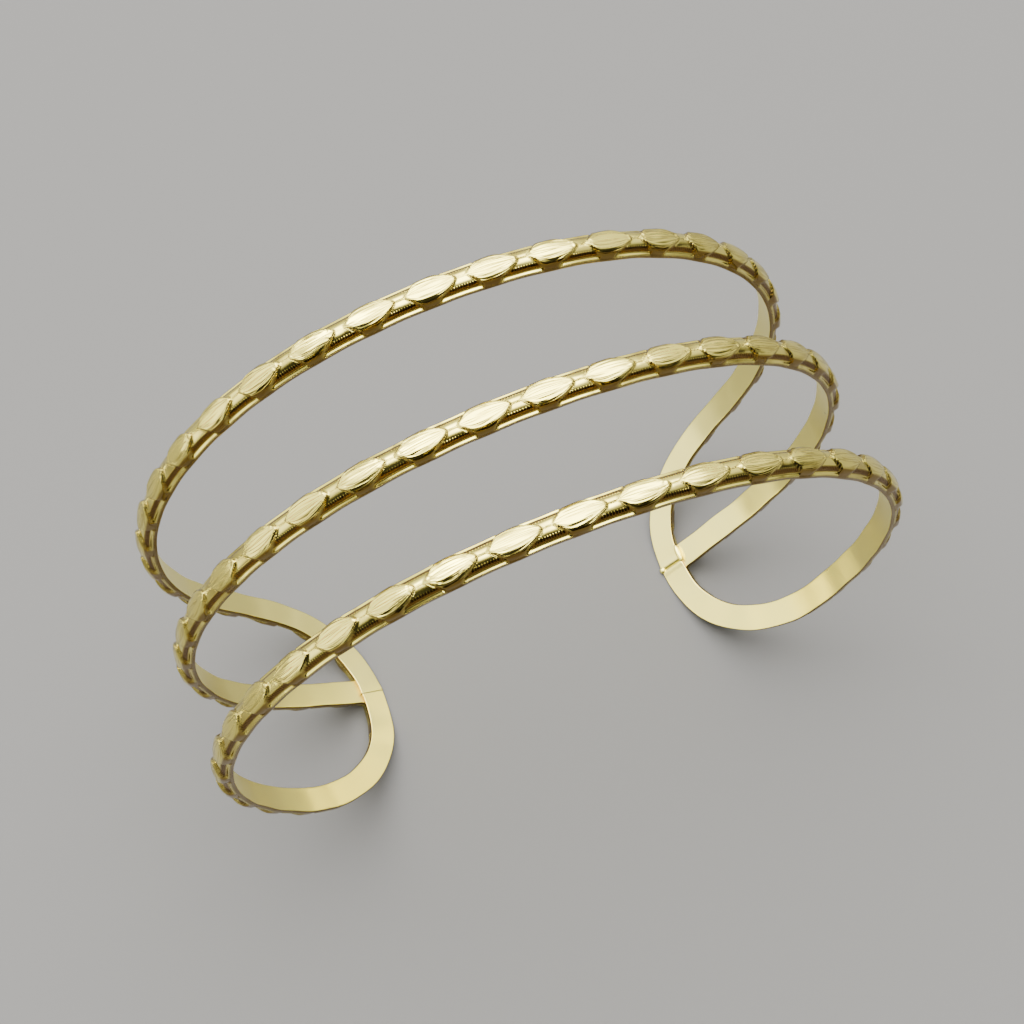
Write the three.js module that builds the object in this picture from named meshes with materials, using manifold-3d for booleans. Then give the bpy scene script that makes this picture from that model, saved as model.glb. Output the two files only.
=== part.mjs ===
// A rigid open cuff bracelet made of three lengths of half-round brass wire with a rolled leaf pattern.
// The front and the back wire are bent round at both ends and joined there into one long loop.
// The middle wire runs down the middle of the loop and is soldered into its two rounded ends.
// Lengths are in millimetres. X runs across the wrist, Y along the arm and Z is up.
// The cuff stands on its two rounded ends with its opening down, as it does on a table.

import * as THREE from 'three';
import { mergeVertices } from 'three/addons/utils/BufferGeometryUtils.js';
import Module from 'manifold-3d';

// Bend of the cuff, from the top down one side to the end, on the flat inner faces of the wires
const crownRadius = 34.8;
const crownDegrees = 17.2;
const sideRadius = 28.3;
const sideDegrees = 114;
const endRadius = 38.5;
const endDegrees = 13.5;

// Section of the wire: a flat back of this width, short upright edges and a domed front
const wireWidth = 2.6;
const wireThickness = 1.5;
const edgeHeight = 0.45;

// Places of the wires: the outer two stand this far from the middle one, at the top and at the ends
const crownSpacing = 11.9;
const endSpacing = 10.6;
const turnLength = 14.8;
const turnSquareness = 2.38;
const frontRise = 2.6;

// The middle wire isn't quite in the middle: at the top it stands off to the front and the right
const middleRise = 1.05;
const middleForward = 0.65;
const middleRightward = 0.23;

// Joints: round each tip of the loop, where its wires meet, the pattern is filed smooth. The middle
// wire is soldered to the loop's edge, with its flat face set back from the loop's flat face
const filedHalfLength = 3.6;
const filedSteps = 4;
const middleSetBack = 0.35;
const middleBite = 0.8;

// Rolled pattern: one pointed leaf after another, each with its tip towards +X
const leafPitch = 5.4;

// Worn flat under each rounded end, on which the cuff stands
const footDepth = 0.3;

// Steps of the measuring line along half a bend and along a quarter of a turn, and how far apart
// the two points lie that give the wire's direction, as a share of a leaf
const bendSteps = 240;
const turnSteps = 60;
const directionShare = 0.04;

// No section of a leaf lies nearer than this share of a leaf to the end of its wire
const leafClearance = 0.12;

// One leaf, from its root to the valley behind its tip
// at: share of the pitch; crest and flank: heights as shares of the wire's thickness
const leafSections = [
  { at: 0.0, crest: 0.88, flank: 0.5 },
  { at: 0.2, crest: 0.93, flank: 0.68 },
  { at: 0.45, crest: 0.98, flank: 0.84 },
  { at: 0.7, crest: 1.0, flank: 0.82 },
  { at: 0.87, crest: 1.0, flank: 0.66 },
  { at: 0.94, crest: 0.84, flank: 0.5 },
];
const leafTip = leafSections[4];
const plainSection = { crest: 0.9, flank: 0.6 };
const flankPlace = 0.7;

// How each wire was bent by hand: its first leaf tip past the top as a share of the pitch, its
// sideways lean and bow as shares of the spacing at the top, and how far its top is moved
const bends = {
  front: { side: -1, leafStart: 0.78, lean: -0.16, bow: 0.06, rise: frontRise, forward: 0, rightward: 0 },
  middle: {
    side: 0,
    leafStart: 0.18,
    lean: -0.05,
    bow: 0.3,
    rise: middleRise,
    forward: middleForward,
    rightward: middleRightward,
  },
  back: { side: 1, leafStart: 0.28, lean: -0.145, bow: -0.095, rise: 0, forward: 0, rightward: 0 },
};

const radians = THREE.MathUtils.degToRad;
const bendArcs = [
  { radius: crownRadius, angle: radians(crownDegrees) },
  { radius: sideRadius, angle: radians(sideDegrees) },
  { radius: endRadius, angle: radians(endDegrees) },
];
const halfLength = bendArcs.reduce((sum, arc) => sum + arc.radius * arc.angle, 0);

// Point of the bend at a run from the top, and the way it faces; the run is negative on the left
function bendAt(run) {
  const side = Math.sign(run) || 1;
  let left = Math.min(Math.abs(run), halfLength);
  let heading = 0;
  let x = 0;
  let z = 0;
  for (const arc of bendArcs) {
    const turned = Math.min(left / arc.radius, arc.angle);
    x += arc.radius * (Math.sin(heading + turned) - Math.sin(heading));
    z -= arc.radius * (Math.cos(heading) - Math.cos(heading + turned));
    heading += turned;
    left -= turned * arc.radius;
    if (left <= 0) break;
  }
  return { x: side * x, z, outward: new THREE.Vector3(side * Math.sin(heading), 0, Math.cos(heading)) };
}

const bendDepth = -bendAt(halfLength).z;

// Point on the flat face's middle line of a wire, from its run along the bend and its share of the spacing
function wirePoint(run, sideShare, bend) {
  const share = run / halfLength;
  const free = 1 - share * share;
  const spacing = crownSpacing + (endSpacing - crownSpacing) * share * share;
  const place = bendAt(run);
  const swell = 1 + (bend.rise / bendDepth) * free;
  const x = place.x * swell + bend.rightward * free;
  const aside = (bend.lean * share + bend.bow * share * share) * crownSpacing - bend.forward;
  const foot = -bendDepth;
  return {
    point: new THREE.Vector3(x, sideShare * spacing + aside * free, foot + (place.z - foot) * swell),
    outward: place.outward,
  };
}

// A measured line: points in order, with their distance along the top of the dome
function measuredLine(places) {
  let distance = 0;
  let before = null;
  for (const place of places) {
    const top = place.point.clone().addScaledVector(place.outward, wireThickness);
    if (before) distance += top.distanceTo(before);
    place.distance = distance;
    before = top;
  }
  return { places, length: distance };
}

function lineAt(line, distance) {
  const { places } = line;
  let low = 0;
  let high = places.length - 1;
  while (high - low > 1) {
    const half = (low + high) >> 1;
    if (places[half].distance > distance) high = half;
    else low = half;
  }
  const a = places[low];
  const b = places[high];
  const share = (distance - a.distance) / (b.distance - a.distance);
  return {
    point: a.point.clone().lerp(b.point, share),
    outward: a.outward.clone().lerp(b.outward, share).normalize(),
  };
}

function distanceAtTop(line, test) {
  return line.places.find((place, index) => index > 0 && test(place)).distance;
}

// Quarter of a rounded end: the run and the share of the spacing, from the straight to the tip
function turnPlaces(end) {
  const places = [];
  for (let step = 0; step <= turnSteps; step += 1) {
    const angle = (Math.PI / 2) * (step / turnSteps);
    const along = Math.sin(angle) ** (2 / turnSquareness);
    const across = Math.cos(angle) ** (2 / turnSquareness);
    places.push({ run: end * (halfLength - turnLength * (1 - along)), across: step === turnSteps ? 0 : across });
  }
  return places;
}

// One half of the loop, from its left tip to its right tip, along the front or the back
function loopHalf(bend) {
  const straight = halfLength - turnLength;
  const runs = turnPlaces(-1).reverse();
  for (let step = 1; step < 2 * bendSteps; step += 1) {
    runs.push({ run: straight * (step / bendSteps - 1), across: 1 });
  }
  runs.push(...turnPlaces(1));
  return runs.map(({ run, across }) => wirePoint(run, bend.side * across, bend));
}

// Stations along a wire: one for each row of each leaf, between two distances
function leafStations(from, to, top, direction, leafStart) {
  const stations = [];
  const reach = Math.ceil((to - from) / leafPitch) + 1;
  const clear = leafClearance * leafPitch;
  for (let leaf = -reach; leaf <= reach; leaf += 1) {
    for (const row of leafSections) {
      const distance = top + direction * (leafStart + leaf - leafTip.at + row.at) * leafPitch;
      if (distance > from + clear && distance < to - clear) stations.push({ distance, ...row });
    }
  }
  return stations.sort((a, b) => a.distance - b.distance);
}

// Stations of the smooth stretch round a tip of the loop
function filedStations(tip) {
  const stations = [];
  for (let step = -filedSteps; step <= filedSteps; step += 1) {
    stations.push({ distance: tip + filedHalfLength * (step / filedSteps), ...plainSection });
  }
  return stations;
}

// Section of the wire: x runs across its flat back, y out to its dome, in order round the outline
function sectionOutline({ crest, flank }) {
  const half = wireWidth / 2;
  return [
    [-half, 0],
    [half, 0],
    [half, edgeHeight],
    [half * flankPlace, wireThickness * flank],
    [0, wireThickness * crest],
    [-half * flankPlace, wireThickness * flank],
    [-half, edgeHeight],
  ];
}

// Rings of points for the stations of a line, each square to the wire
function wireRings(line, stations, closed, lift) {
  const nudge = 0.5 * directionShare * leafPitch;
  return stations.map((station) => {
    const wrap = (distance) => (closed ? (distance + line.length) % line.length : distance);
    const here = lineAt(line, wrap(station.distance));
    const ahead = lineAt(line, wrap(station.distance + nudge)).point;
    const behind = lineAt(line, wrap(station.distance - nudge)).point;
    const along = ahead.sub(behind).normalize();
    const across = new THREE.Vector3().crossVectors(here.outward, along).normalize();
    const out = new THREE.Vector3().crossVectors(along, across);
    return sectionOutline(station).map(([x, y]) =>
      here.point.clone().addScaledVector(across, x).addScaledVector(out, y + lift));
  });
}

// Closed mesh through rings of points: a ring of rings, or a rod with two flat ends
function meshThroughRings(rings, closed) {
  const positions = rings.flat().flatMap((point) => point.toArray());
  const sides = rings[0].length;
  const index = [];
  const pairs = closed ? rings.length : rings.length - 1;
  for (let ring = 0; ring < pairs; ring += 1) {
    const next = (ring + 1) % rings.length;
    for (let side = 0; side < sides; side += 1) {
      const turn = (side + 1) % sides;
      const corners = [ring * sides + side, ring * sides + turn, next * sides + turn, next * sides + side];
      index.push(corners[0], corners[1], corners[2], corners[0], corners[2], corners[3]);
    }
  }
  if (!closed) {
    const last = (rings.length - 1) * sides;
    for (let side = 1; side < sides - 1; side += 1) {
      index.push(0, side + 1, side);
      index.push(last, last + side, last + side + 1);
    }
  }
  const geometry = new THREE.BufferGeometry();
  geometry.setAttribute('position', new THREE.Float32BufferAttribute(positions, 3));
  geometry.setIndex(index);
  return geometry;
}

const wasm = await Module();
wasm.setup();

function solidOf(geometry) {
  const bare = geometry.clone();
  bare.deleteAttribute('normal');
  bare.deleteAttribute('uv');
  const merged = mergeVertices(bare);
  return new wasm.Manifold(new wasm.Mesh({
    numProp: 3,
    vertProperties: new Float32Array(merged.attributes.position.array),
    triVerts: new Uint32Array(merged.index.array),
  }));
}

// The loop: along the front to the right tip, then along the back to the left tip
function loopSolid() {
  const frontPlaces = loopHalf(bends.front);
  const backPlaces = loopHalf(bends.back).reverse().slice(1);
  const line = measuredLine([...frontPlaces, ...backPlaces]);
  const rightTip = line.places[frontPlaces.length - 1].distance;
  const frontTop = distanceAtTop(line, (place) => place.point.x >= 0 && place.distance < rightTip);
  const backTop = distanceAtTop(line, (place) => place.point.x <= 0 && place.distance > rightTip);
  const front = { from: filedHalfLength, to: rightTip - filedHalfLength };
  const back = { from: rightTip + filedHalfLength, to: line.length - filedHalfLength };
  const stations = [
    ...filedStations(0),
    ...leafStations(front.from, front.to, frontTop, 1, bends.front.leafStart),
    ...filedStations(rightTip),
    ...leafStations(back.from, back.to, backTop, -1, bends.back.leafStart),
  ];
  return solidOf(meshThroughRings(wireRings(line, stations, true, 0), true));
}

// The middle wire, from one rounded end to the other, with its ends let into the loop's edge
function middleSolid() {
  const reach = halfLength - wireWidth / 2 + middleBite;
  const places = [];
  for (let step = -bendSteps; step <= bendSteps; step += 1) {
    places.push(wirePoint(reach * (step / bendSteps), bends.middle.side, bends.middle));
  }
  const line = measuredLine(places);
  const top = distanceAtTop(line, (place) => place.point.x >= 0);
  const end = directionShare * leafPitch;
  const stations = [
    { distance: end, ...plainSection },
    ...leafStations(end, line.length - end, top, 1, bends.middle.leafStart),
    { distance: line.length - end, ...plainSection },
  ];
  return solidOf(meshThroughRings(wireRings(line, stations, false, middleSetBack), false));
}

// Block that holds everything under the standing plane, which is worn away
function belowFeet(solid) {
  const { min, max } = solid.boundingBox();
  const size = 2 * (max[0] - min[0]);
  const block = new THREE.BoxGeometry(size, size, size);
  block.translate((min[0] + max[0]) / 2, (min[1] + max[1]) / 2, min[2] + footDepth - size / 2);
  return solidOf(block);
}

const joined = loopSolid().add(middleSolid());
const standing = joined.subtract(belowFeet(joined));
const standingMesh = standing.getMesh();

const cuffGeometry = new THREE.BufferGeometry();
cuffGeometry.setAttribute('position', new THREE.Float32BufferAttribute(standingMesh.vertProperties, 3));
cuffGeometry.setIndex(Array.from(standingMesh.triVerts));
cuffGeometry.computeBoundingBox();
const cuffBox = cuffGeometry.boundingBox;
const cuffCentre = cuffBox.getCenter(new THREE.Vector3());
cuffGeometry.translate(-cuffCentre.x, -cuffCentre.y, -cuffBox.min.z);
cuffGeometry.computeVertexNormals();

const brass = new THREE.MeshStandardMaterial({ color: 0xd8c98c, roughness: 0.22, metalness: 1 });
const cuff = new THREE.Mesh(cuffGeometry, brass);
cuff.name = 'triple_wire_cuff';

const group = new THREE.Group();
group.add(cuff);

export default group;
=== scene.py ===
import math

import bmesh
import bpy
from mathutils import Matrix, Vector, noise


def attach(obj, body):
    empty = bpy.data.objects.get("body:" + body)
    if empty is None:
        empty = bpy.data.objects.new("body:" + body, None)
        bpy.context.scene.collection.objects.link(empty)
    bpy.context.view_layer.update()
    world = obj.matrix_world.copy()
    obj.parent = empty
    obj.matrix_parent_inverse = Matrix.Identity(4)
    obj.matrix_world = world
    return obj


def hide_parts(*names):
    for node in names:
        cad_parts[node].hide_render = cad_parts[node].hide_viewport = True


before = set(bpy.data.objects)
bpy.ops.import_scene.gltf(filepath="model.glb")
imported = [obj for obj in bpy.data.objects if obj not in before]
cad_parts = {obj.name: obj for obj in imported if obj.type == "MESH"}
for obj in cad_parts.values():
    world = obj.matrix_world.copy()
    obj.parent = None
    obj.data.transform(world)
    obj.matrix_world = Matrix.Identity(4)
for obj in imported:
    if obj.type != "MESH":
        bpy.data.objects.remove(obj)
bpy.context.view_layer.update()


# Camera: a phone held close above the front of the cuff, looking steeply down on its top.
# The picture is 1024 pixels square, and the lens follows from the picture's scale.
mm = 0.001
picture_pixels = 1024
focal_pixels = 2269.5
sensor_width = 36.0
nearest_view = 10.0
camera_place = Vector((-21.61, -71.34, 218.39)) * mm
camera_pitch = -0.3650
camera_yaw = 0.1172
camera_roll = 0.4369

camera_data = bpy.data.cameras.new("camera")
camera_data.sensor_width = sensor_width
camera_data.lens = sensor_width * focal_pixels / picture_pixels
camera_data.clip_start = nearest_view * mm
camera = bpy.data.objects.new("camera", camera_data)
camera_turn = (
    Matrix.Rotation(-camera_yaw, 4, "Y")
    @ Matrix.Rotation(-camera_pitch, 4, "X")
    @ Matrix.Rotation(-camera_roll, 4, "Z")
)
camera.matrix_world = Matrix.Translation(camera_place) @ camera_turn
bpy.context.scene.collection.objects.link(camera)
bpy.context.scene.camera = camera


# Brass: a pale yellow brass, brightly polished on the patterned dome of each wire.
# The flat inner faces keep the satin skin of the drawn wire. The finely hatched ground between
# the leaves, the leaf root walls, the lower flanks, the side walls and the vein lines get painted shade.
polished_colour = (0.95, 0.82, 0.19, 1.0)
satin_colour = (0.93, 0.83, 0.24, 1.0)
# Painted shade: the dark browns mixed into the hatched ground, the leaf root walls, the lower flanks, the
# side walls and the vein lines, and how strongly.
painted_ground_shade_colour = (0.17, 0.075, 0.013, 1.0)
flank_colour = (0.15, 0.07, 0.012, 1.0)
painted_ground_shade_tint = 0.95
flank_tint = 0.88
painted_vein_shade_tint = 0.45
polished_roughness = (0.10, 0.22)
satin_roughness = (0.24, 0.36)
cloud_noise = {"Scale": 420.0, "Detail": 4.0, "Roughness": 0.6}
grain_noise = {"Scale": 9000.0, "Detail": 3.0, "Roughness": 0.6}
vein_noise = {"Scale": 1.0, "Detail": 1.0, "Roughness": 0.5}
grain_depth = 0.0016
vein_stretch = 0.16
vein_crowding = 4.2
vein_fineness = 16.0
vein_depth = 0.018
hatch_spacing = 0.24
hatch_wander = 9.0
hatch_depth = 0.06

brass = bpy.data.materials.new("pale_gold_brass")
brass.use_nodes = True
brass_links = brass.node_tree.links
brass_shader = brass.node_tree.nodes["Principled BSDF"]
brass_shader.inputs["Metallic"].default_value = 1.0


def add_node(tree, kind, inputs, **settings):
    """A new node of a tree, with values or other nodes' outputs put into its inputs."""
    node = tree.nodes.new(kind)
    for name, value in settings.items():
        setattr(node, name, value)
    for place, value in inputs.items():
        if isinstance(value, bpy.types.NodeSocket):
            tree.links.new(value, node.inputs[place])
        else:
            node.inputs[place].default_value = value
    return node


def brass_node(kind, inputs, **settings):
    return add_node(brass.node_tree, kind, inputs, **settings)


def brass_math(operation, first, second):
    return brass_node("ShaderNodeMath", {0: first, 1: second}, operation=operation).outputs[0]


def brass_range(source, low, high):
    inputs = {"Value": source, "To Min": low, "To Max": high}
    return brass_node("ShaderNodeMapRange", inputs).outputs["Result"]


def brass_colours(first, second, share):
    """A mix of two colours. Its sockets are numbered, because several share a name."""
    mix = brass_node("ShaderNodeMix", {0: share, 6: first, 7: second}, data_type="RGBA")
    return mix.outputs[2]


def brass_values(first, second, share):
    return brass_node("ShaderNodeMix", {0: share, 2: first, 3: second}).outputs[0]


def brass_mark(name):
    """A finish or a painted shade that is marked on the mesh, as a share."""
    return brass_node("ShaderNodeAttribute", {}, attribute_name=name).outputs["Fac"]


def brass_noise(place, settings):
    return brass_node("ShaderNodeTexNoise", {"Vector": place, **settings}).outputs["Fac"]


def brass_relief(height, depth, **surface):
    """Fine relief of a depth in millimetres, on the plain surface or on the one that is given."""
    inputs = {"Height": height, "Strength": 1.0, "Distance": depth * mm, **surface}
    return brass_node("ShaderNodeBump", inputs).outputs["Normal"]


object_place = brass_node("ShaderNodeTexCoord", {}).outputs["Object"]
satin = brass_mark("satin")
# Marks of painted shade; the hatched one also places the hatching's bumps.
hatch_and_painted_shade = brass_mark("hatch_and_painted_shade")
flank = brass_mark("flank")
leaf_run = brass_mark("leaf_run")
leaf_place = brass_mark("leaf_place")
cloudy = brass_noise(object_place, cloud_noise)
grainy = brass_noise(object_place, grain_noise)

line_run = brass_math("MULTIPLY", leaf_run, vein_stretch)
line_place = brass_math("MULTIPLY", leaf_place, vein_crowding)
line_vector = brass_node("ShaderNodeCombineXYZ", {0: line_run, 1: line_place}).outputs[0]
leaf_lines = brass_noise(line_vector, vein_noise)
line_distance = brass_math("ABSOLUTE", brass_math("SUBTRACT", leaf_lines, 0.5), 0.0)
vein = brass_math("SUBTRACT", 1.0, brass_math("MULTIPLY", line_distance, vein_fineness))
vein = brass_math("MAXIMUM", vein, 0.0)
bare = brass_math("SUBTRACT", 1.0, brass_math("MAXIMUM", satin, hatch_and_painted_shade))
vein = brass_math("MULTIPLY", vein, bare)

hatch_turn = brass_math("MULTIPLY", leaf_run, 2 * math.pi / hatch_spacing)
hatch_turn = brass_math("ADD", hatch_turn, brass_math("MULTIPLY", cloudy, hatch_wander))
hatch_wave = brass_math("MULTIPLY", brass_math("SINE", hatch_turn, 0.0), cloudy)
hatching = brass_math("MULTIPLY", brass_range(hatch_wave, 0.0, 1.0), hatch_and_painted_shade)

base_colour = brass_colours(polished_colour, satin_colour, satin)
# Painted shade: dark brown over the lower flanks and side walls, the vein lines and the hatched ground.
base_colour = brass_colours(base_colour, flank_colour, brass_math("MULTIPLY", flank, flank_tint))
# Painted shade in the vein lines.
base_colour = brass_colours(base_colour, flank_colour, brass_math("MULTIPLY", vein, painted_vein_shade_tint))
base_colour = brass_colours(base_colour, painted_ground_shade_colour, brass_math("MULTIPLY", hatch_and_painted_shade, painted_ground_shade_tint))
brass_links.new(base_colour, brass_shader.inputs["Base Color"])

polished_sheen = brass_range(cloudy, *polished_roughness)
satin_sheen = brass_range(cloudy, *satin_roughness)
brass_links.new(brass_values(polished_sheen, satin_sheen, satin), brass_shader.inputs["Roughness"])

grained = brass_relief(grainy, grain_depth)
veined = brass_relief(brass_math("MULTIPLY", vein, -1.0), vein_depth, Normal=grained)
hatched = brass_relief(hatching, hatch_depth, Normal=veined)
brass_links.new(hatched, brass_shader.inputs["Normal"])


# The bend of the cuff: three arcs that run into each other, from the top down to each end.
# The wires were bent side by side round one mandrel, so all of them follow it, and the front
# one was left a little wider, for the thicker side of the arm.
crown_radius = 34.8
crown_angle = math.radians(17.2)
side_radius = 28.3
side_angle = math.radians(114)
end_radius = 38.5
end_angle = math.radians(13.5)
crown_spacing = 11.9
end_spacing = 10.6
front_rise = 2.6
foot_drop = 0.95
box_shift = Vector((0.014, 0.044, 0.0))

bend_arcs = ((crown_radius, crown_angle), (side_radius, side_angle), (end_radius, end_angle))
half_length = sum(radius * angle for radius, angle in bend_arcs)


def bend_at(run):
    """Point of the bend at a run from the top, in millimetres, and the way it faces."""
    side = -1.0 if run < 0 else 1.0
    left = min(abs(run), half_length)
    heading = x = z = 0.0
    for radius, angle in bend_arcs:
        turned = min(left / radius, angle)
        x += radius * (math.sin(heading + turned) - math.sin(heading))
        z -= radius * (math.cos(heading) - math.cos(heading + turned))
        heading += turned
        left -= turned * radius
    return Vector((side * x, 0, z)), Vector((side * math.sin(heading), 0, math.cos(heading)))


bend_depth = -bend_at(half_length)[0].z


def wire_point(run, side_share, lean, bow, rise, forward, rightward):
    """Point on the middle line of a wire's flat face, above the floor, and the way its dome looks."""
    share = run / half_length
    free = 1 - share * share
    spacing = crown_spacing + (end_spacing - crown_spacing) * share * share
    place, outward = bend_at(run)
    swell = 1 + rise / bend_depth * free
    x = place.x * swell + rightward * free
    aside = (lean * share + bow * share * share) * crown_spacing - forward
    height = foot_drop + (place.z + bend_depth) * swell
    return Vector((x, side_share * spacing + aside * free, height)) + box_shift, outward


# The rolled wire: half-round brass with a row of pointed leaves rolled into its dome.
# Each leaf grows out of a neck behind the one before it, swells over the full width of the wire
# and ends in a sharp lip. Between the leaves the ground is sunk, with a flat ledge at each edge.
wire_width = 2.6
wire_thickness = 1.5
edge_height = 0.45
wall_height = 0.3
corner = 0.08
corner_ease = 0.3
dome_fullness = 0.85
foot_tuck = 0.05
foot_tuck_start = 0.85
rows_per_leaf = 60
dome_columns = 34
direction_step = 0.1
closest = 0.0005

leaf_pitch = 5.4
leaf_root = 0.125
root_spread = 0.23
root_wall = 0.055
root_depth = 0.085
root_depth_end = 0.7
tip_spread = 0.36
tip_power = 1.6
tip_wall = 0.03
tip_wall_growth = 0.05
widest_reach = 1.08
place_limit = 1.2
least_run = 0.001
sink_lean = 1.7
flutes = 3.5
flute_depth = 0.045
flute_wander = 0.6
flute_strength = 0.6
flute_variation = 0.8
flute_neck = 0.2
flute_edge = 0.75
dent_depth = 0.04

ground_top = 1.395
ground_edge = 0.58
ground_half_width = 1.04
ground_steepness = math.radians(80)
ledge_start = 0.72
ledge_height = 0.51
hatch_upper_edge = (0.36, 0.43)
hatch_lower_edge = (0.67, 0.73)
# Painted shade on the leaf's root wall, on its lower flank and on the lip at its tip.
wall_shade = 0.9
wall_shade_start = (0.15, 0.35)
flank_start = (0.46, 0.60)
lip_shade = 0.8

edge_waist = 0.035
edge_waist_shift = 0.08
edge_unevenness = 0.03
filed_height = 0.93
filed_width = 0.98
filed_flank = 0.3
right_seam_depth = 0.07
left_seam_depth = 0.0
seam_half_width = 0.14
ridge_rise = (0.05, 0.25)
ridge_fall = (0.3, 0.8)
flare_length = 1.1
hand_bend = 0.15
hand_bend_length = 3.8
hand_bend_fade = (12.0, 30.0)
hand_bend_draw = 9.0


def smooth(low, high, value):
    share = min(max((value - low) / (high - low), 0.0), 1.0)
    return share * share * (3 - 2 * share)


def shoulder(value):
    """Rises from 0 to 1 as a quarter round."""
    left = 1 - min(max(value, 0.0), 1.0)
    return math.sqrt(1 - left * left)


def full_dome(angle):
    """The leaf's section: a dome a little fuller than a half round, tucked in at its foot."""
    share = abs(math.sin(angle)) ** dome_fullness
    x = wire_width / 2 * share - foot_tuck * smooth(foot_tuck_start, 1.0, share)
    y = edge_height + (wire_thickness - edge_height) * max(math.cos(angle), 0.0) ** dome_fullness
    return Vector((math.copysign(x, angle), y))


def sunk_ground(angle):
    """The sunk section between the leaves: a lower dome, with a flat ledge along each edge of the wire.
    """
    turned = abs(angle) / (math.pi / 2)
    steep = ground_steepness * min(turned / ledge_start, 1.0)
    x = ground_half_width * math.sin(steep) / math.sin(ground_steepness)
    y = ground_edge + (ground_top - ground_edge) * (math.cos(steep) - math.cos(ground_steepness))
    if turned > ledge_start:
        out = (turned - ledge_start) / (1 - ledge_start)
        x += (wire_width / 2 - ground_half_width) * out
        y += (ledge_height - ground_edge) * out
    return Vector((math.copysign(x, angle), y))


def leaf_section(along, angle, seed):
    """Place on the wire's outline, shares of hatching with painted shade and of painted flank shade, and
    place across the leaf.
    """
    full = full_dome(angle)
    low = sunk_ground(angle)
    across = 2 * full.x / wire_width
    away = abs(across)
    from_root = max(along - leaf_root, least_run) / root_spread
    from_tip = (max(1 - along, least_run) / tip_spread) ** (1 / tip_power)
    reach = (from_root ** -4 + from_tip ** -4 + widest_reach ** -4) ** -0.25
    place = max(-place_limit, min(place_limit, across / reach))

    root_rise = smooth(0.0, root_wall, along - leaf_root - root_spread * away)
    tip_slope = tip_wall + tip_wall_growth * away
    tip_rise = shoulder((1 - tip_spread * away ** tip_power - along) / tip_slope)
    raised = root_rise * tip_rise
    wall = 4 * root_rise * (1 - root_rise) * tip_rise * smooth(*wall_shade_start, away)
    lip = 4 * tip_rise * (1 - tip_rise) * root_rise

    depth = root_depth * (1 - smooth(leaf_root, root_depth_end, along))
    wander = noise.noise(Vector((along * 1.5, seed * 7.3, 2.0)))
    swing = math.cos(2 * math.pi * (flutes * place + flute_wander * wander))
    variation = noise.noise(Vector((place * 1.7, along * 1.2, seed * 3.1)))
    strength = flute_strength + flute_variation * variation
    strength *= smooth(0.0, flute_neck, reach) * (1 - smooth(flute_edge, 1.0, abs(place)))
    depth += flute_depth * strength * swing
    depth += dent_depth * noise.noise(Vector((along * 3.0, across * 1.6, seed * 5.7)))
    full -= Vector((full.x, sink_lean * (full.y - 0.5 * edge_height))).normalized() * depth

    # Painted shade: the sunk hatched ground and the leaf's root wall, and the leaf's lower flank and the
    # lip at its tip.
    turned = abs(angle) / (math.pi / 2)
    hatched_band = smooth(*hatch_upper_edge, turned) * (1 - smooth(*hatch_lower_edge, turned))
    hatch_and_shade_share = max((1 - raised) * hatched_band, wall_shade * wall)
    flank_share = max(raised * smooth(*flank_start, turned), lip_shade * lip)
    return low.lerp(full, raised), hatch_and_shade_share, flank_share, place


def edge_swell(along, seed):
    """Width of the wire against its full width: rolling the leaves in made it swell at each."""
    swell = 0.5 - 0.5 * math.cos(2 * math.pi * (along - edge_waist_shift))
    unevenness = 0.5 + 0.5 * noise.noise(Vector((along * 2.0 + seed * 2.0, 4.0, 1.0)))
    return 1 - edge_waist * (1 - swell) - edge_unevenness * unevenness


def section_outline():
    """Places round the wire: x and height for the wall and the flat face, an angle for the dome."""
    half = wire_width / 2
    places = [(None, None, math.pi * (0.5 - step / dome_columns)) for step in range(dome_columns + 1)]
    wall = ((half, wall_height), (half, corner), (half - corner_ease * corner, corner_ease * corner))
    flat = (half - corner, half - 2 * corner, 0.0, -half + 2 * corner, -half + corner)
    places.extend((-x, y, "wall") for x, y in wall)
    places.extend((-x, 0.0, "flat") for x in flat)
    places.extend((x, y, "wall") for x, y in reversed(wall))
    return places


outline = section_outline()


class MeasuredLine:
    """Points of a wire in order, with their distance along the top of its dome."""

    def __init__(self, places, closed):
        self.places = places
        self.closed = closed
        self.distances = [0.0]
        tops = [point + outward * wire_thickness for point, outward in places]
        for before, after in zip(tops, tops[1:]):
            self.distances.append(self.distances[-1] + (after - before).length)
        self.length = self.distances[-1]

    def at(self, distance):
        """Point at a distance, and the way the dome looks there."""
        if self.closed:
            distance %= self.length
        distance = min(max(distance, 0.0), self.length)
        low, high = 0, len(self.places) - 1
        while high - low > 1:
            half = (low + high) // 2
            if self.distances[half] > distance:
                high = half
            else:
                low = half
        share = (distance - self.distances[low]) / (self.distances[high] - self.distances[low])
        first, second = self.places[low], self.places[high]
        return first[0].lerp(second[0], share), first[1].lerp(second[1], share).normalized()

    def frame_at(self, distance):
        """Point at a distance, and the directions along the wire, across it and out of its dome."""
        point, outward = self.at(distance)
        before, after = self.at(distance - direction_step)[0], self.at(distance + direction_step)[0]
        along = (after - before).normalized()
        across = outward.cross(along).normalized()
        return point, outward, along, across

    def hand_bend_at(self, distance, height):
        """How far a wire's end was bent out of its smooth curve by hand."""
        around = 2 * math.pi * distance / self.length
        ring = self.length / (2 * math.pi * hand_bend_length)
        place = Vector((ring * math.cos(around), ring * math.sin(around), hand_bend_draw))
        return hand_bend * noise.noise(place) * (1 - smooth(*hand_bend_fade, height))


def finished_piece(name, shape, material):
    """The object of a shape, in its material, with its place in its mesh."""
    mesh = bpy.data.meshes.new(name)
    shape.to_mesh(mesh)
    shape.free()
    mesh.materials.append(material)
    piece = bpy.data.objects.new(name, mesh)
    bpy.context.scene.collection.objects.link(piece)
    return piece


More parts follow.
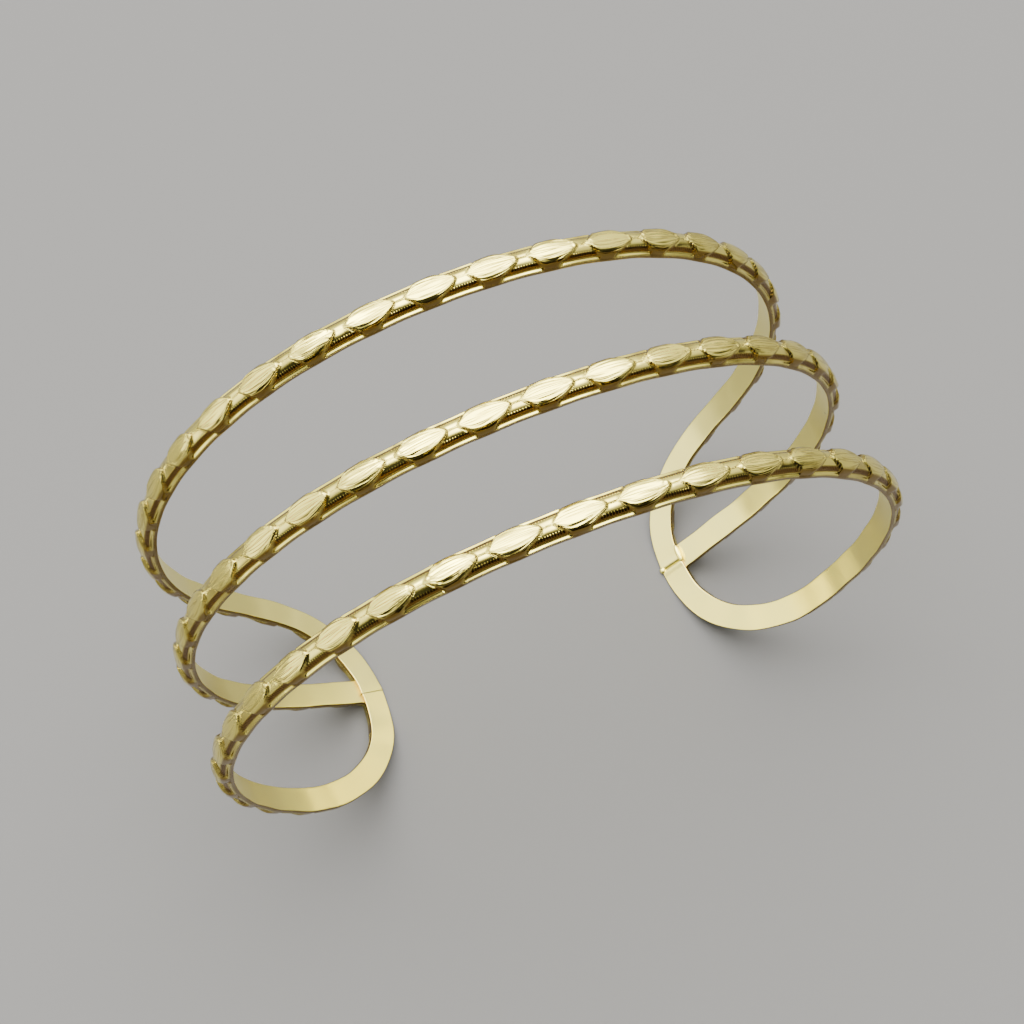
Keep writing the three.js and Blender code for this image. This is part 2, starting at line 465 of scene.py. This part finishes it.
def wire_mesh(name, line, start, stop, relief_at, lift, end_width):
    """One patterned wire between two distances of a line, as a closed mesh with its finishes and its
    painted shade marked.
    """
    rows = round((stop - start) / leaf_pitch * rows_per_leaf)
    columns = len(outline)
    frames = []
    for row in range(rows + 1):
        distance = start + (stop - start) * row / rows
        point, outward, along, across = line.frame_at(distance)
        point = point + outward * line.hand_bend_at(distance, point.z)
        frames.append((point, across, along.cross(across), distance))

    shape = bmesh.new()
    mark_names = ("satin", "hatch_and_painted_shade", "flank", "leaf_run", "leaf_place")
    marks = {mark_name: shape.verts.layers.float.new(mark_name) for mark_name in mark_names}
    bmesh.ops.create_grid(shape, x_segments=rows, y_segments=columns, size=1.0)
    for vert in shape.verts:
        row = round((vert.co.x + 1) / 2 * rows)
        column = round((vert.co.y + 1) / 2 * columns) % columns
        point, across, out, distance = frames[row]
        x, y, angle = outline[column]
        leaf_along, seed, patterned = relief_at(distance)
        vert[marks["leaf_run"]] = distance
        if x is None:
            leaf, hatch_and_shade_share, flank_share, leaf_across = leaf_section(leaf_along, angle, seed)
            filed = full_dome(angle) * filed_height
            filed.x = full_dome(angle).x * filed_width
            x, y = filed.lerp(leaf, patterned)
            # Painted shade on the hatched ground, the root wall, the lower flank and the tip's lip; some
            # of the flank shade stays where the pattern is filed.
            vert[marks["hatch_and_painted_shade"]] = hatch_and_shade_share * patterned
            vert[marks["flank"]] = flank_share * (filed_flank + (1 - filed_flank) * patterned)
            vert[marks["leaf_place"]] = leaf_across
        else:
            vert[marks["satin"]] = 1.0 if angle == "flat" else 0.5
            # The side walls get painted shade in full.
            vert[marks["flank"]] = 1.0 if angle == "wall" else 0.0
        ending = min(distance - start, stop - distance)
        seam_depth = right_seam_depth if point.x > 0 else left_seam_depth
        pinch = 1 - seam_depth * (1 - smooth(0.0, seam_half_width, ending))
        flare = 1 + end_width * (1 - smooth(0.0, flare_length, ending))
        x *= pinch * flare * edge_swell(leaf_along, seed)
        y = 0.5 * wire_thickness + (y - 0.5 * wire_thickness) * pinch
        if angle == "flat":
            y -= seam_depth * smooth(*ridge_rise, ending) * (1 - smooth(*ridge_fall, ending))
        place = point + across * x + out * (y + lift)
        place.z = max(place.z, 0.0)
        vert.co = place * mm
    bmesh.ops.remove_doubles(shape, verts=shape.verts, dist=closest * mm)
    bmesh.ops.holes_fill(shape, edges=[edge for edge in shape.edges if edge.is_boundary], sides=0)
    bmesh.ops.recalc_face_normals(shape, faces=shape.faces)
    for face in shape.faces:
        face.smooth = len(face.verts) <= 4
    wire = finished_piece(name, shape, brass)
    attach(wire, "root")
    return wire


# Front and back wires: two lengths of the rolled wire, each bent round at both ends.
# They meet in a butt joint just to the back of each tip, polished flush on the left and a
# little proud on the right. Round the tips the pattern is filed smooth. All leaves point right.
turn_length = 14.8
turn_squareness = 2.38
filed_half_length = 3.6
filed_fade = 0.8
joint_offset = -0.2
front_bend = {"lean": -0.16, "bow": 0.06, "rise": front_rise, "forward": 0.0, "rightward": 0.0}
back_bend = {"lean": -0.145, "bow": -0.095, "rise": 0.0, "forward": 0.0, "rightward": 0.0}
back_end_width = 0.06
front_leaf_start = 0.78
back_leaf_start = 0.28
turn_steps = 90
straight_steps = 600


def loop_half(side, bend):
    """Places from the left tip to the right tip, along the front or the back."""
    turn = []
    for step in range(turn_steps + 1):
        angle = math.pi / 2 * step / turn_steps
        run = half_length - turn_length * (1 - math.sin(angle) ** (2 / turn_squareness))
        across = 0.0 if step == turn_steps else math.cos(angle) ** (2 / turn_squareness)
        turn.append((run, across))
    straight = half_length - turn_length
    runs = [(-run, across) for run, across in reversed(turn)]
    for step in range(1, straight_steps):
        runs.append((straight * (2 * step / straight_steps - 1), 1.0))
    runs.extend(turn)
    return [wire_point(run, side * across, **bend) for run, across in runs]


front_places = loop_half(-1, front_bend)
back_places = loop_half(1, back_bend)
loop = MeasuredLine(front_places + back_places[::-1][1:], closed=True)
right_tip = loop.distances[len(front_places) - 1]


def top_distance(line, first, last):
    """Distance at which a line crosses over the top of the cuff."""
    for index in range(first, last):
        before = line.places[index][0].x - box_shift.x
        after = line.places[index + 1][0].x - box_shift.x
        if before * after <= 0:
            share = before / (before - after)
            return line.distances[index] + share * (line.distances[index + 1] - line.distances[index])
    return line.length / 2


front_top = top_distance(loop, 0, len(front_places) - 2)
back_top = top_distance(loop, len(front_places), len(loop.places) - 2)


def loop_relief(top, leaf_direction, leaf_start):
    def relief_at(distance):
        leaves = leaf_direction * (distance - top) / leaf_pitch - leaf_start
        from_tip = min(abs(distance), abs(distance - right_tip), abs(distance - loop.length))
        patterned = smooth(filed_half_length - filed_fade, filed_half_length + filed_fade, from_tip)
        return leaves % 1.0, math.floor(leaves), patterned

    return relief_at


front_wire = wire_mesh(
    "front_wire", loop, joint_offset, right_tip - joint_offset,
    loop_relief(front_top, 1, front_leaf_start), lift=0.0, end_width=0.0,
)
back_wire = wire_mesh(
    "back_wire", loop, right_tip - joint_offset, loop.length + joint_offset,
    loop_relief(back_top, -1, back_leaf_start), lift=0.0, end_width=back_end_width,
)
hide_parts("triple_wire_cuff")
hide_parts("triple_wire_cuff")


# Middle wire: the same rolled wire down the middle of the loop.
# Its ends are soldered to the inner edge of the rounded ends, a little to the back of each tip.
# The solder draws up into a small fillet there, and its flat face lies behind the loop's.
middle_bend = {"lean": -0.05, "bow": 0.3, "rise": 0.9, "forward": 0.77, "rightward": 0.23}
middle_leaf_start = 0.18
middle_first_leaf = 100
middle_filed = (0.6, 1.8)
middle_set_back = 0.35
middle_bite = 0.8
fillet_share = 0.16
end_shift = 0.5
end_shift_start = 0.72

middle_reach = half_length - wire_width / 2 + middle_bite
middle_places = []
for step in range(-straight_steps, straight_steps + 1):
    share = step / straight_steps
    point, outward = wire_point(middle_reach * share, 0.0, **middle_bend)
    point.y += end_shift * smooth(end_shift_start, 1.0, abs(share))
    middle_places.append((point, outward))
middle_line = MeasuredLine(middle_places, closed=False)
middle_top = top_distance(middle_line, 0, len(middle_places) - 2)


def middle_relief(distance):
    leaves = (distance - middle_top) / leaf_pitch - middle_leaf_start
    from_end = min(distance, middle_line.length - distance)
    return leaves % 1.0, middle_first_leaf + math.floor(leaves), smooth(*middle_filed, from_end)


middle_wire = wire_mesh(
    "middle_wire", middle_line, 0.0, middle_line.length,
    middle_relief, lift=middle_set_back, end_width=fillet_share,
)
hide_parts("triple_wire_cuff")


# Solder beads: two small beads of solder that were left standing on the loop's right joint.
# One sits on the outer edge of the flat face. The longer one runs along the inner edge, in the
# corner between the loop and the middle wire.
outer_bead = {"run": 0.05, "aside": -1.16, "half_sizes": (0.34, 0.30, 0.26)}
inner_bead = {"run": 0.75, "aside": 1.24, "half_sizes": (0.95, 0.26, 0.24)}

bead_shape = bmesh.new()
bead_satin = bead_shape.verts.layers.float.new("satin")
for bead in (outer_bead, inner_bead):
    point, outward, along, across = loop.frame_at(right_tip - joint_offset + bead["run"])
    bead_turn = Matrix((along, across, along.cross(across))).transposed().to_4x4()
    bead_size = Matrix.Diagonal((*bead["half_sizes"], 1 / mm)) * mm
    bead_move = Matrix.Translation((point + across * bead["aside"]) * mm)
    bead_matrix = bead_move @ bead_turn @ bead_size
    bmesh.ops.create_icosphere(bead_shape, subdivisions=3, radius=1.0, matrix=bead_matrix)
for vert in bead_shape.verts:
    vert[bead_satin] = 1.0
for face in bead_shape.faces:
    face.smooth = True
solder_beads = finished_piece("solder_beads", bead_shape, brass)
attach(solder_beads, "root")


# Floor: a plain pale sheet under the cuff, matt and without any pattern.
# It fills the picture from above, and its far edge shows only in low views.
floor_half = 1.5
floor_colour = (0.105, 0.103, 0.10, 1.0)
floor_roughness = 0.8

floor_material = bpy.data.materials.new("pale_floor")
floor_material.use_nodes = True
floor_shader = floor_material.node_tree.nodes["Principled BSDF"]
floor_shader.inputs["Base Color"].default_value = floor_colour
floor_shader.inputs["Roughness"].default_value = floor_roughness
floor_shape = bmesh.new()
bmesh.ops.create_grid(floor_shape, x_segments=1, y_segments=1, size=floor_half)
floor = finished_piece("floor", floor_shape, floor_material)


# Light: a soft room, brightest overhead and a little behind, with a low window to the left.
# The front is the dimmest side, which darkens the lower flanks of the wires. A small soft panel
# stands above, behind and to the left.
light_colour = (1.0, 0.99, 0.96, 1.0)
sky = {"side": Vector((0.11, 0.36, 0.93)), "start": 0.69, "stop": 0.90, "strength": 10.0}
window = {"side": Vector((-0.93, 0.33, 0.15)), "start": 0.60, "stop": 0.93, "strength": 2.6}
room = {"side": Vector((0.35, 0.50, 0.79)), "start": 0.25, "stop": 0.75, "strength": 1.4}
dim_strength = 0.03
panel_place = Vector((-0.25, 0.28, 0.50))
panel_aim = Vector((0, 0, 0.03))
panel_width = 0.22
panel_power = 0.9

world = bpy.data.worlds.new("soft_room")
bpy.context.scene.world = world
world.use_nodes = True
room_tree = world.node_tree
background = room_tree.nodes["Background"]
light_direction = add_node(room_tree, "ShaderNodeTexCoord", {}).outputs["Generated"]


def light_from(side, start, stop, strength):
    """Light from round a direction: none at the start's cosine, full strength at the stop's."""
    inputs = {0: light_direction, 1: side}
    nearness = add_node(room_tree, "ShaderNodeVectorMath", inputs, operation="DOT_PRODUCT")
    inputs = {"Value": nearness.outputs["Value"], "From Min": start, "From Max": stop, "To Max": strength}
    ramp = add_node(room_tree, "ShaderNodeMapRange", inputs, interpolation_type="SMOOTHSTEP")
    return ramp.outputs["Result"]


light_strength = light_from(**sky)
for addition in (light_from(**window), light_from(**room), dim_strength):
    inputs = {0: light_strength, 1: addition}
    light_strength = add_node(room_tree, "ShaderNodeMath", inputs, operation="ADD").outputs[0]
background.inputs["Color"].default_value = light_colour
room_tree.links.new(light_strength, background.inputs["Strength"])

panel_data = bpy.data.lights.new("soft_panel", "AREA")
panel_data.size = panel_width
panel_data.energy = panel_power
panel = bpy.data.objects.new("soft_panel", panel_data)
panel_turn = (panel_aim - panel_place).to_track_quat("-Z", "Y").to_matrix().to_4x4()
panel.matrix_world = Matrix.Translation(panel_place) @ panel_turn
bpy.context.scene.collection.objects.link(panel)
